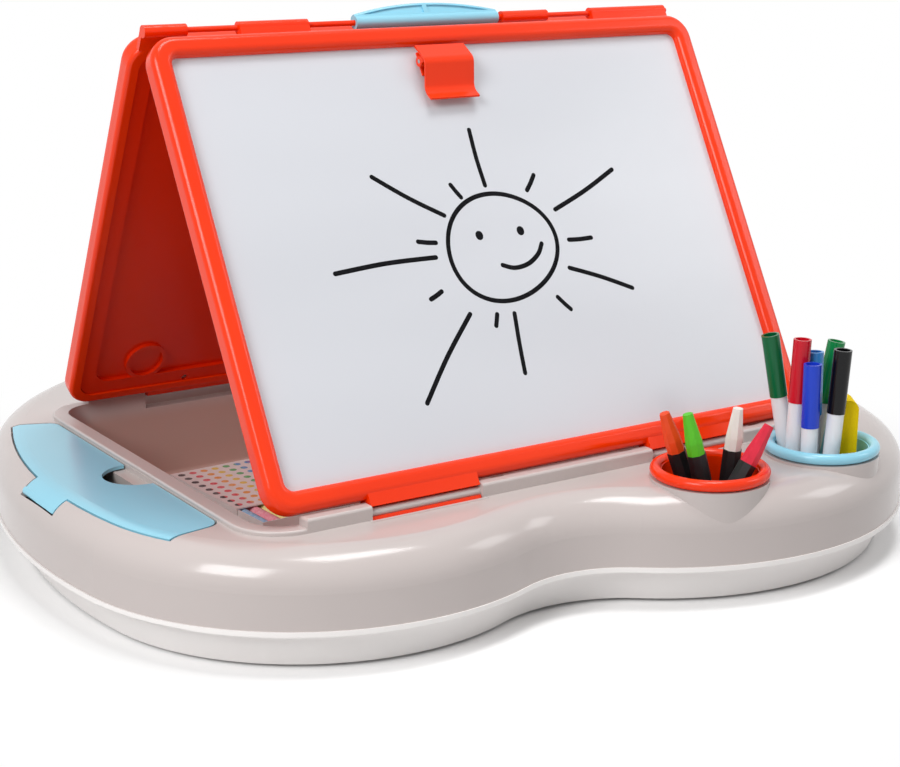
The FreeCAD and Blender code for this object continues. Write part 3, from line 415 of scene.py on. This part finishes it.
class EASEL_OT_pens(bpy.types.Operator):
    """Finish the markers, crayons, eraser and chalks"""
    bl_idname = "easel.pens"
    bl_label = "Pens and chalks"

    # Each colour and the shade that it drifts to
    caps = {"green": ("#086A3E", "#076339"), "red": ("#D0152A", "#C81226"), "blue": ("#2246CE", "#1E40C4"),
            "black": ("#0B0B0D", "#101013"), "teal": ("#3F8FD6", "#3A88CE"), "lime": ("#0C8A48", "#0A8142")}
    waxes = {"orange": ("#EE4B10", "#E2430C"), "green": ("#5CC822", "#50BA1C"),
             "white": ("#F1ECE7", "#E8E1DA"), "pink": ("#DC2340", "#CE1C38")}

    def execute(self, context):
        for name, (colour, shade) in self.caps.items():
            gloss = moulded("gloss_pp_cap_" + name, colour, shade, roughness=0.16, Specular_IOR_Level=0.3)
            dress(gloss, "marker_cap_" + name)
        for name, (colour, shade) in self.waxes.items():
            dress(crayon_wax("crayon_wax_" + name, colour, shade), "crayon_" + name)
        dress(moulded("gloss_pp_barrel", "#EEF0F3", "#E8EAEE", roughness=0.2), "marker_barrels")
        dress(sleeve_paper(), "crayon_sleeves")
        dress(eraser_foam(), "eraser_block")
        dress(eraser_felt(), "eraser_felt")
        dress(chalk_card(), "chalk_box", "chalk_drawer")
        dress(chalk_stick(), "chalk_sticks")
        return {"FINISHED"}


def new_tree(name, sockets):
    """An empty geometry-nodes tree with its named inputs, and those inputs."""
    tree = bpy.data.node_groups.new(name, "GeometryNodeTree")
    for socket, kind in sockets.items():
        tree.interface.new_socket(socket, in_out="INPUT", socket_type="NodeSocket" + kind)
    tree.interface.new_socket("Geometry", in_out="OUTPUT", socket_type="NodeSocketGeometry")
    return tree, node(tree, "NodeGroupInput").outputs


def pen_line_tree():
    """Geometry nodes: a round-ended pen line along loose edges, pressed flat to a film of ink."""
    tree, given = new_tree("pen_line", {"Path": "Geometry", "Stroke": "Float", "Flat": "Float",
                                        "Ink": "Material"})
    path = node(tree, "GeometryNodeMeshToCurve", {"Mesh": given["Path"]})
    smooth = node(tree, "GeometryNodeCurveSplineType", {"Curve": path.outputs[0]}, spline_type="CATMULL_ROM")
    half = node(tree, "ShaderNodeMath", {0: given["Stroke"], 1: 0.5}, operation="MULTIPLY").outputs[0]
    pen = node(tree, "GeometryNodeCurvePrimitiveCircle", {"Resolution": 10, "Radius": half})
    line = node(tree, "GeometryNodeCurveToMesh", {"Curve": smooth.outputs[0], "Profile Curve": pen.outputs[0],
                                                  "Fill Caps": True})
    ends = node(tree, "GeometryNodeCurveEndpointSelection")
    tip = node(tree, "GeometryNodeMeshUVSphere", {"Segments": 12, "Rings": 6, "Radius": half})
    tips = node(tree, "GeometryNodeInstanceOnPoints", {"Points": path.outputs[0],
                                                       "Selection": ends.outputs[0],
                                                       "Instance": tip.outputs[0]})
    tip_meshes = node(tree, "GeometryNodeRealizeInstances", {0: tips.outputs[0]})
    both = node(tree, "GeometryNodeJoinGeometry", {0: line.outputs[0]})
    tree.links.new(tip_meshes.outputs[0], both.inputs[0])
    thin = node(tree, "ShaderNodeCombineXYZ", {"X": 1.0, "Y": 1.0, "Z": given["Flat"]})
    film = node(tree, "GeometryNodeTransform", {"Geometry": both.outputs[0], "Scale": thin.outputs[0]})
    inked = node(tree, "GeometryNodeSetMaterial", {"Geometry": film.outputs[0], "Material": given["Ink"]})
    node(tree, "NodeGroupOutput", {0: inked.outputs[0]})
    return tree


def dot_rows_tree():
    """Geometry nodes: rows of thin round dots on a flat panel."""
    tree, given = new_tree("dot_rows", {"Across": "Float", "Along": "Float", "Columns": "Int", "Rows": "Int",
                                        "Radius": "Float", "Film": "Float", "Ink": "Material"})
    grid = node(tree, "GeometryNodeMeshGrid", {"Size X": given["Across"], "Size Y": given["Along"],
                                               "Vertices X": given["Columns"], "Vertices Y": given["Rows"]})
    dot = node(tree, "GeometryNodeMeshCylinder", {"Vertices": 20, "Radius": given["Radius"],
                                                  "Depth": given["Film"]})
    spread = node(tree, "GeometryNodeInstanceOnPoints", {"Points": grid.outputs[0],
                                                         "Instance": dot.outputs[0]})
    dots = node(tree, "GeometryNodeRealizeInstances", {0: spread.outputs[0]})
    inked = node(tree, "GeometryNodeSetMaterial", {"Geometry": dots.outputs[0], "Material": given["Ink"]})
    node(tree, "NodeGroupOutput", {0: inked.outputs[0]})
    return tree


def nodes_to_mesh(tree, values, start):
    """Runs a geometry-nodes tree on a start mesh with its inputs set, and gives a plain mesh."""
    holder = bpy.data.objects.new("holder", start)
    bpy.context.scene.collection.objects.link(holder)
    modifier = holder.modifiers.new("nodes", "NODES")
    modifier.node_group = tree
    for item in tree.interface.items_tree:
        if item.in_out == "INPUT" and item.name in values:
            modifier[item.identifier] = values[item.name]
    mesh = bpy.data.meshes.new_from_object(holder.evaluated_get(bpy.context.evaluated_depsgraph_get()))
    holder.modifiers.remove(modifier)
    bpy.data.objects.remove(holder)
    return mesh


def loose_lines(lines, closed):
    """A mesh of edges along lists of points in a plane, each list closed to a ring or left open."""
    mesh = bpy.data.meshes.new("lines")
    points, edges = [], []
    for line in lines:
        first = len(points)
        points += [(x, y, 0) for x, y in line]
        edges += [(i, i + 1) for i in range(first, len(points) - 1)]
        if closed:
            edges.append((len(points) - 1, first))
    mesh.from_pydata(points, edges, [])
    return mesh


class EASEL_OT_drawing(bpy.types.Operator):
    """Draw a plain smiling sun in marker on the whiteboard"""
    bl_idname = "easel.drawing"
    bl_label = "Marker drawing"

    # Each ray: its angle in degrees, then its start and length as shares of the disc's radius
    ray_shares = ((146, 1.12, 1.35), (120, 1.04, 0.26), (90, 1.06, 0.97), (49, 1.2, 0.33), (23, 1.34, 1.52),
                  (-1, 1.33, 0.46), (-23, 1.28, 1.25), (-51, 1.24, 0.3), (-97, 1.14, 1.0), (-113, 1.2, 0.2),
                  (-133, 1.42, 1.78), (-156, 1.5, 0.25), (-178, 1.3, 1.85), (171, 1.24, 0.32))
    bow_share = 0.02
    # The smile's points and the eyes' places (left, right and up), as shares of the disc's radius
    smile_shares = ((-0.1, -0.31), (0.12, -0.38), (0.4, -0.34), (0.64, -0.2), (0.77, -0.03))
    eye_shares = (-0.38, 0.43, 0.22)
    # A hand-drawn disc leans: how far across and up a point goes for the cosine and the sine of its angle
    disc_across = (1.02, 0.29)
    disc_up = (-0.18, 0.89)
    disc_points = 24
    # Its outline swells and shrinks a little, this many times round and from this angle in radians
    wobble_share = 0.025
    wobble_waves = 3
    wobble_start = 1
    # An eye is a dot drawn out to this share of the stroke, and ink stands this share of its width high
    eye_dash_share = 0.25
    flat_share = 0.05

    def ray(self, radius, degrees, start, length):
        """Three points of a ray that bows a little, as a hand draws it."""
        out = Vector((math.cos(math.radians(degrees)), math.sin(math.radians(degrees))))
        # The sine of the plain number makes the bow differ from ray to ray.
        bow = Vector((-out.y, out.x)) * length * self.bow_share * math.sin(degrees)
        return [out * start * radius, out * (start + length / 2) * radius + bow * radius,
                out * (start + length) * radius]

    def disc(self, radius):
        """Points round a leaning, slightly uneven disc."""
        points = []
        for i in range(self.disc_points):
            angle = 2 * math.pi * i / self.disc_points
            size = radius * (1 + self.wobble_share * math.sin(self.wobble_waves * angle + self.wobble_start))
            points.append([size * (c * math.cos(angle) + s * math.sin(angle))
                           for c, s in (self.disc_across, self.disc_up)])
        return points

    def execute(self, context):
        drawing = context.scene.easel_drawing
        radius, stroke = drawing.radius, drawing.stroke
        left, right, up = (share * radius for share in self.eye_shares)
        eyes = [[(x, up), (x, up + stroke * self.eye_dash_share)] for x in (left, right)]
        smile = [(x * radius, y * radius) for x, y in self.smile_shares]
        rays = [self.ray(radius, *shares) for shares in self.ray_shares]
        ink, pen = marker_ink(), pen_line_tree()
        place = board_place @ Matrix.Translation((drawing.across, -drawing.below_ridge, sheet_height))
        for name, lines, closed, width in (("drawn_disc", [self.disc(radius)], True, stroke),
                                           ("drawn_smile", [smile], False, stroke),
                                           ("drawn_eyes", eyes, False, drawing.eye),
                                           ("drawn_rays", rays, False, stroke)):
            mesh = nodes_to_mesh(pen, {"Stroke": width, "Flat": self.flat_share, "Ink": ink},
                                 loose_lines(lines, closed))
            mesh.transform(place)
            settle(name, mesh, ink, "front_board")
        return {"FINISHED"}


class EASEL_OT_chalk_print(bpy.types.Operator):
    """Print rows of plain coloured dots on the chalk box"""
    bl_idname = "easel.chalk_print"
    bl_label = "Chalk box print"

    def execute(self, context):
        sizes = context.scene.easel_print
        ink = printed_dots()
        values = {"Across": sizes.across, "Along": sizes.along, "Columns": sizes.columns, "Rows": sizes.rows,
                  "Radius": sizes.radius, "Film": sizes.film, "Ink": ink}
        mesh = nodes_to_mesh(dot_rows_tree(), values, bpy.data.meshes.new("panel"))
        low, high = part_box("chalk_box")
        middle = (low + high) / 2
        mesh.transform(Matrix.Translation((middle.x, middle.y, high.z)) @ Matrix.Rotation(sizes.turn, 4, "Z"))
        settle("chalk_box_print", mesh, ink, "base")
        return {"FINISHED"}


class EASEL_OT_stage(bpy.types.Operator):
    """Add the pale floor, the soft lights and the camera"""
    bl_idname = "easel.stage"
    bl_label = "Stage"

    # The floor's half width, and where its shadows start to fade and are gone, in metres from the middle
    floor_reach = 6
    fade_start = 0.24
    fade_end = 0.44
    # Soft boxes: name, place in metres, watts, and width and height in metres; all face one point
    soft_boxes = (("key_soft_box", (-1.6, -0.7, 1.3), 23.0, (0.9, 0.9)),
                  ("top_soft_box", (0.1, -0.3, 1.9), 16.0, (1.0, 0.5)),
                  ("fill_soft_box", (1.6, -1.0, 1.2), 5.0, (0.7, 0.7)))
    soft_box_aim = (0, 0, 0.12)
    # Light that the white surroundings throw on the object, where 1 is what the camera sees of them
    sky_light = 0.3
    # The photograph's view: where the camera stands round its target, and its lens
    azimuth_deg = -33.83
    elevation_deg = 17.12
    roll_deg = 0.17
    distance_mm = 1163.17
    target_mm = (16.88, -15.54, 34.21)
    sensor_mm = 36.0
    lens_mm = 73.4
    shift_x = -0.026
    shift_y = 0.0817
    clip_end = 20.0

    def execute(self, context):
        reach = self.floor_reach
        floor = bpy.data.meshes.new("floor")
        floor.from_pydata([(-reach, -reach, 0), (reach, -reach, 0), (reach, reach, 0), (-reach, reach, 0)],
                          [], [(0, 1, 2, 3)])
        floor.materials.append(self.studio_floor())
        floor_piece = bpy.data.objects.new("floor", floor)
        context.scene.collection.objects.link(floor_piece)
        self.add_world(context)
        for soft_box in self.soft_boxes:
            self.add_lamp(context, *soft_box)
        self.add_camera(context)
        context.scene.view_settings.view_transform = "Standard"
        return {"FINISHED"}

    def seen(self, tree):
        """1 for rays from the camera and those seen in a gloss or through glass, 0 for light that bounces."""
        rays = node(tree, "ShaderNodeLightPath").outputs
        direct = node(tree, "ShaderNodeMath", {0: rays["Is Camera Ray"], 1: rays["Is Transmission Ray"]},
                      operation="MAXIMUM").outputs[0]
        return node(tree, "ShaderNodeMath", {0: direct, 1: rays["Is Glossy Ray"]},
                    operation="MAXIMUM").outputs[0]

    def studio_floor(self):
        """Matt white paper that keeps the object's shadow near it and fades to plain white further off."""
        paper, tree, surface, place = new_material("studio_floor", Roughness=0.9, Specular_IOR_Level=0.1)
        seen = self.seen(tree)
        paint(tree, surface, seen, "#DADADA", "#FCFCFC")
        away = node(tree, "ShaderNodeVectorMath", {0: place}, operation="LENGTH").outputs["Value"]
        fade = node(tree, "ShaderNodeMapRange", {"Value": away, "From Min": self.fade_start,
                                                 "From Max": self.fade_end},
                    interpolation_type="SMOOTHERSTEP").outputs["Result"]
        part = node(tree, "ShaderNodeMath", {0: fade, 1: seen}, operation="MULTIPLY").outputs[0]
        white = node(tree, "ShaderNodeEmission", {"Color": (1, 1, 1, 1), "Strength": 1.0})
        both = node(tree, "ShaderNodeMixShader", {0: part, 1: surface.outputs["BSDF"], 2: white.outputs[0]})
        tree.links.new(both.outputs[0], tree.nodes["Material Output"].inputs["Surface"])
        return paper

    def add_world(self, context):
        """White surroundings that light the object less than they show."""
        world = bpy.data.worlds.new("studio")
        world.use_nodes = True
        tree = world.node_tree
        tree.nodes.clear()
        strength = node(tree, "ShaderNodeMapRange", {"Value": self.seen(tree), "To Min": self.sky_light,
                                                     "To Max": 1.0}).outputs["Result"]
        sky = node(tree, "ShaderNodeBackground", {"Color": (1, 1, 1, 1), "Strength": strength})
        node(tree, "ShaderNodeOutputWorld", {"Surface": sky.outputs[0]})
        context.scene.world = world

    def add_lamp(self, context, name, place, watts, sides):
        """A soft box that faces the object."""
        lamp = bpy.data.lights.new(name, "AREA")
        lamp.energy = watts
        lamp.shape = "RECTANGLE"
        lamp.size, lamp.size_y = sides
        holder = bpy.data.objects.new(name, lamp)
        holder.location = place
        facing = Vector(self.soft_box_aim) - Vector(place)
        holder.rotation_euler = facing.to_track_quat("-Z", "Y").to_euler()
        context.scene.collection.objects.link(holder)

    def add_camera(self, context):
        """The photograph's view: left of the front, a little above the ridge, with a long lens."""
        camera = bpy.data.cameras.new("photo_view")
        camera.sensor_width = self.sensor_mm
        camera.lens = self.lens_mm
        camera.shift_x = self.shift_x
        camera.shift_y = self.shift_y
        camera.clip_end = self.clip_end
        azimuth, elevation = math.radians(self.azimuth_deg), math.radians(self.elevation_deg)
        away = Vector((math.sin(azimuth) * math.cos(elevation), -math.cos(azimuth) * math.cos(elevation),
                       math.sin(elevation)))
        place = Vector(self.target_mm) * MM + away * (self.distance_mm * MM)
        facing = (-away).to_track_quat("-Z", "Y").to_matrix().to_4x4()
        roll = Matrix.Rotation(math.radians(self.roll_deg), 4, "Z")
        holder = bpy.data.objects.new("photo_view", camera)
        holder.matrix_world = Matrix.Translation(place) @ facing @ roll
        context.scene.collection.objects.link(holder)
        context.scene.camera = holder


class EASEL_PT_sidebar(bpy.types.Panel):
    """Lists the easel's pieces and their settings"""
    bl_idname = "EASEL_PT_sidebar"
    bl_label = "Tabletop easel"
    bl_space_type = "VIEW_3D"
    bl_region_type = "UI"
    bl_category = "Easel"

    def draw(self, context):
        for settings in (context.scene.easel_colours, context.scene.easel_drawing, context.scene.easel_print):
            for name in settings.__annotations__:
                self.layout.prop(settings, name)
        for operator in operators:
            self.layout.operator(operator.bl_idname)


operators = (EASEL_OT_base, EASEL_OT_boards, EASEL_OT_blue_parts, EASEL_OT_pens, EASEL_OT_drawing,
             EASEL_OT_chalk_print, EASEL_OT_stage)
classes = (EaselColours, SunDrawing, ChalkPrint) + operators + (EASEL_PT_sidebar,)


def register():
    for item in classes:
        bpy.utils.register_class(item)
    bpy.types.Scene.easel_colours = bpy.props.PointerProperty(type=EaselColours)
    bpy.types.Scene.easel_drawing = bpy.props.PointerProperty(type=SunDrawing)
    bpy.types.Scene.easel_print = bpy.props.PointerProperty(type=ChalkPrint)


def unregister():
    del bpy.types.Scene.easel_print
    del bpy.types.Scene.easel_drawing
    del bpy.types.Scene.easel_colours
    for item in reversed(classes):
        bpy.utils.unregister_class(item)


def main():
    register()
    bpy.ops.easel.base()
    bpy.ops.easel.boards()
    bpy.ops.easel.blue_parts()
    bpy.ops.easel.pens()
    bpy.ops.easel.drawing()
    bpy.ops.easel.chalk_print()
    bpy.ops.easel.stage()


if __name__ == "__main__":
    main()
